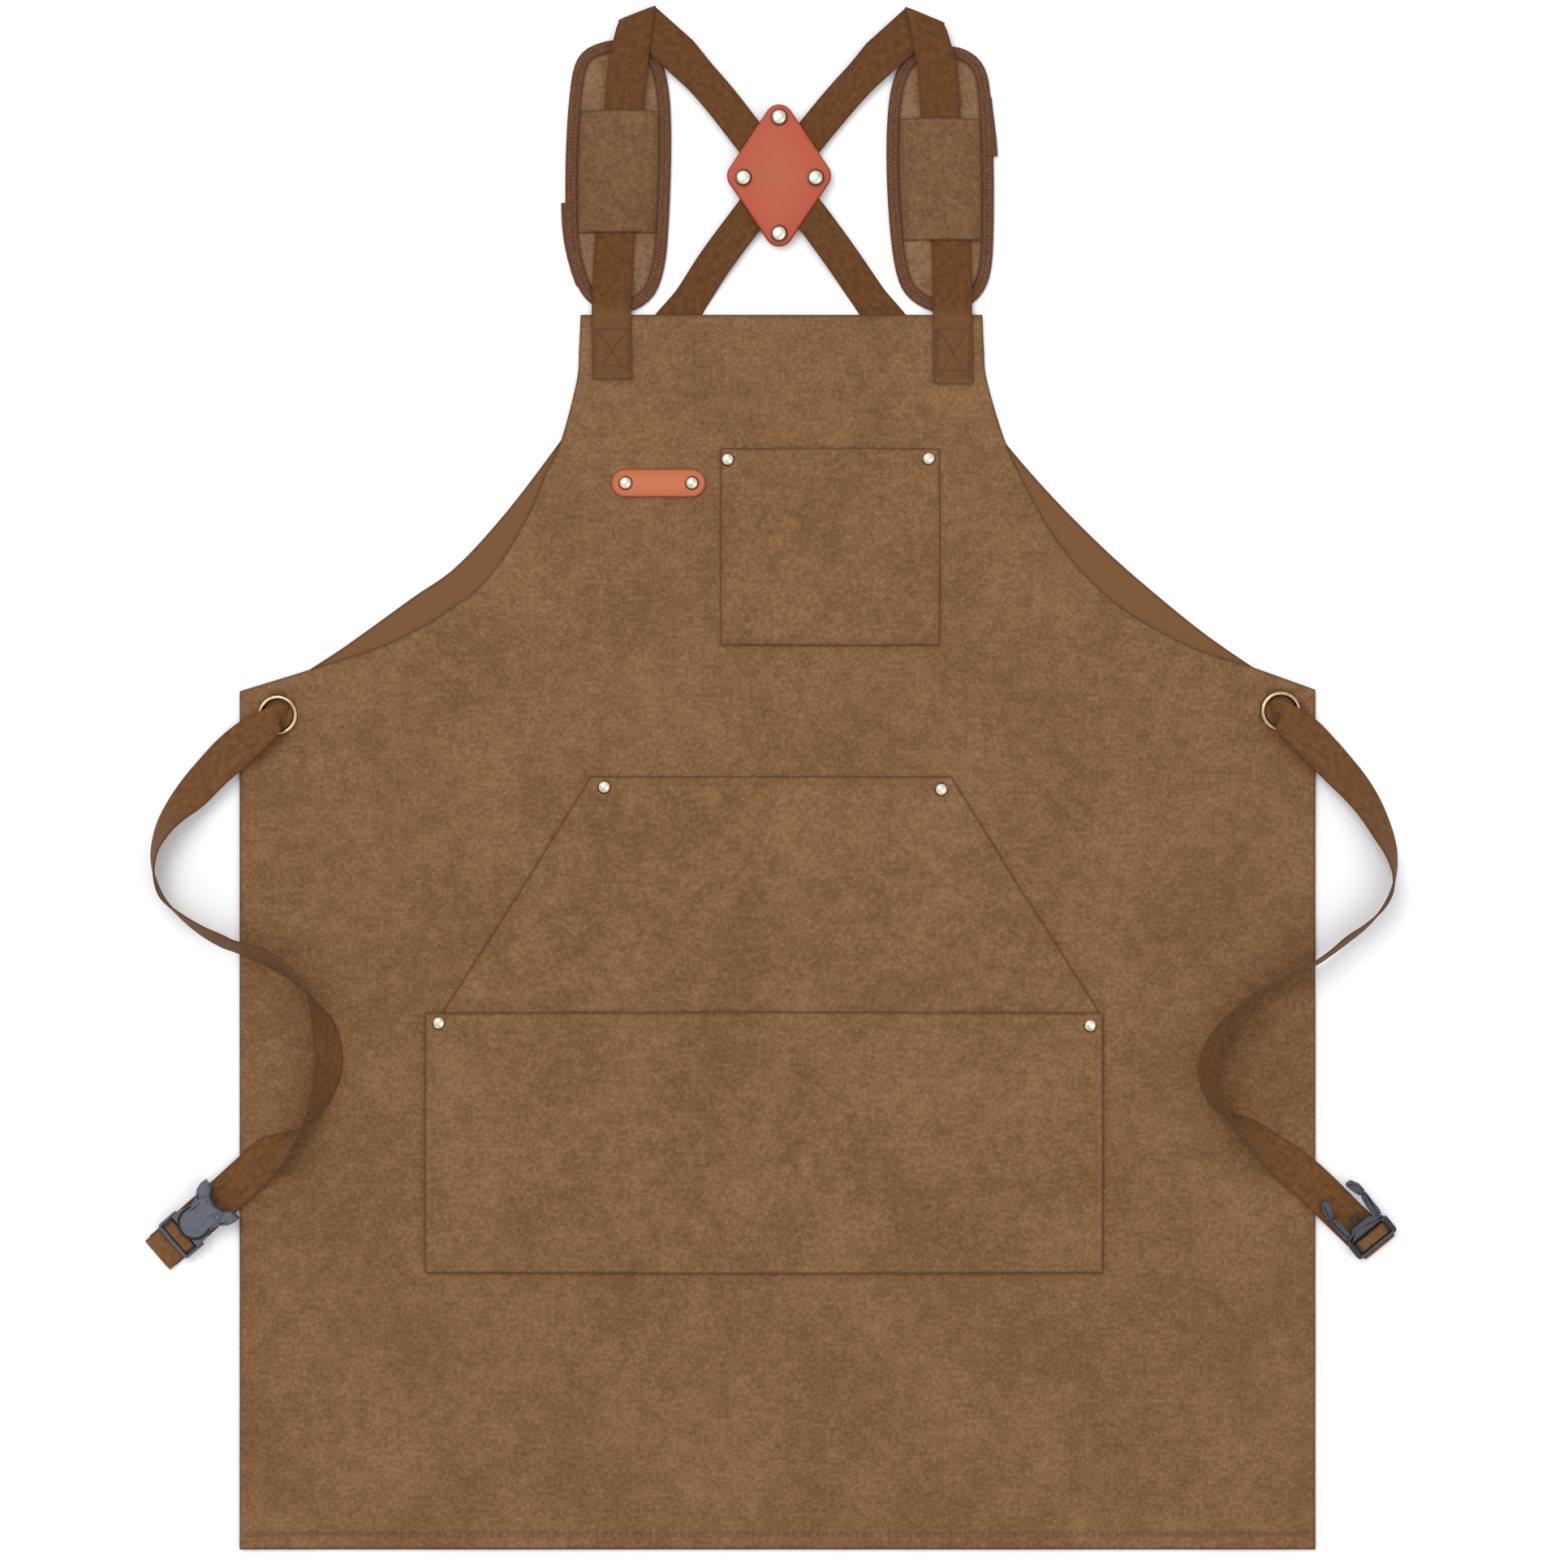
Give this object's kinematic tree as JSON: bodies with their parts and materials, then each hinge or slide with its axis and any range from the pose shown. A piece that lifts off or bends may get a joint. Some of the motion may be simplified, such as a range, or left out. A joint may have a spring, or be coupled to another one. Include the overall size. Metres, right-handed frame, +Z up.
{
  "type": "butcher apron",
  "caption": "Cross-back canvas work apron laid flat, with bib, pockets, padded shoulder straps, leather cross, grommets and buckled waist ties.",
  "frame": {"origin": "on the floor, under the centre of the laid-out apron, its waist ties left out", "axes": "+Z up off the floor, +Y toward the top of the bib, +X to the right of the picture"},
  "size_m": [0.7919, 0.9756, 0.0289],
  "materials": {
    "canvas": "washed cotton canvas",
    "webbing": "ribbed cotton webbing",
    "binding": "grosgrain binding",
    "leather": "smooth tanned leather",
    "brass": "polished plated brass",
    "plastic": "satin moulded nylon"
  },
  "bodies": {
    "apron": {"apron_panel": "canvas", "chest_pocket": "canvas", "hand_pocket": "canvas", "lower_pocket": "canvas", "leather_tag": "leather", "leather_tag_left_rivet": "brass", "leather_tag_right_rivet": "brass", "chest_pocket_left_rivet": "brass", "chest_pocket_right_rivet": "brass", "hand_pocket_left_rivet": "brass", "hand_pocket_right_rivet": "brass", "lower_pocket_left_rivet": "brass", "lower_pocket_right_rivet": "brass", "left_shoulder_strap": "webbing", "right_shoulder_strap": "webbing", "leather_cross_back": "leather", "leather_cross_front": "leather", "cross_top_rivet": "brass", "cross_left_rivet": "brass", "cross_right_rivet": "brass", "cross_bottom_rivet": "brass", "left_grommet": "brass", "left_grommet_washer": "brass", "right_grommet": "brass", "right_grommet_washer": "brass"},
    "left_pad": {"left_pad_core": "canvas", "left_pad_binding": "binding", "left_pad_sleeve": "canvas"},
    "right_pad": {"right_pad_core": "canvas", "right_pad_binding": "binding", "right_pad_sleeve": "canvas"},
    "left_tie": {"left_tie": "webbing"},
    "right_tie": {"right_tie": "webbing"},
    "left_buckle": {"female_buckle": "plastic", "left_webbing_tab": "webbing"},
    "right_buckle": {"male_buckle": "plastic", "right_webbing_tab": "webbing"},
    "left_arm": {"left_latch_arm": "plastic"},
    "right_arm": {"right_latch_arm": "plastic"}
  },
  "joints": [
    {"name": "left_pad_slide", "type": "slide", "parent": "apron", "child": "left_pad", "axis": [0.0703, 0.9975, 0], "range_m": [0, 0.012]},
    {"name": "right_pad_slide", "type": "slide", "parent": "apron", "child": "right_pad", "axis": [-0.0836, 0.9965, 0], "range_m": [0, 0.012]},
    {"name": "left_tie_swing", "type": "hinge", "parent": "apron", "child": "left_tie", "pos_m": [-0.316, 0.04, 0], "axis": [0, 0, -1], "range_deg": [0, 12]},
    {"name": "right_tie_swing", "type": "hinge", "parent": "apron", "child": "right_tie", "pos_m": [0.318, 0.0425, 0], "axis": [0, 0, 1], "range_deg": [0, 12]},
    {"name": "left_buckle_fold", "type": "hinge", "parent": "left_tie", "child": "left_buckle", "pos_m": [-0.39125, -0.301, 0.00155], "axis": [0.6557, -0.755, 0], "range_deg": [0, 120]},
    {"name": "right_buckle_fold", "type": "hinge", "parent": "right_tie", "child": "right_buckle", "pos_m": [0.3805, -0.296, 0.00155], "axis": [0.7772, 0.6292, 0], "range_deg": [0, 120]},
    {"name": "left_arm_squeeze", "type": "hinge", "parent": "right_buckle", "child": "left_arm", "pos_m": [0.36075, -0.29162, 0.0062], "axis": [-0.0395, 0.0488, -0.998], "range_deg": [0, 6], "stiffness_Nm_per_rad": 0.3},
    {"name": "right_arm_squeeze", "type": "hinge", "parent": "right_buckle", "child": "right_arm", "pos_m": [0.38033, -0.27577, 0.0062], "axis": [0.0395, -0.0488, 0.998], "range_deg": [0, 6], "stiffness_Nm_per_rad": 0.3}
  ],
  "couplings": [
    {"joint": "right_arm_squeeze", "follows": "left_arm_squeeze", "ratio": 1}
  ]
}
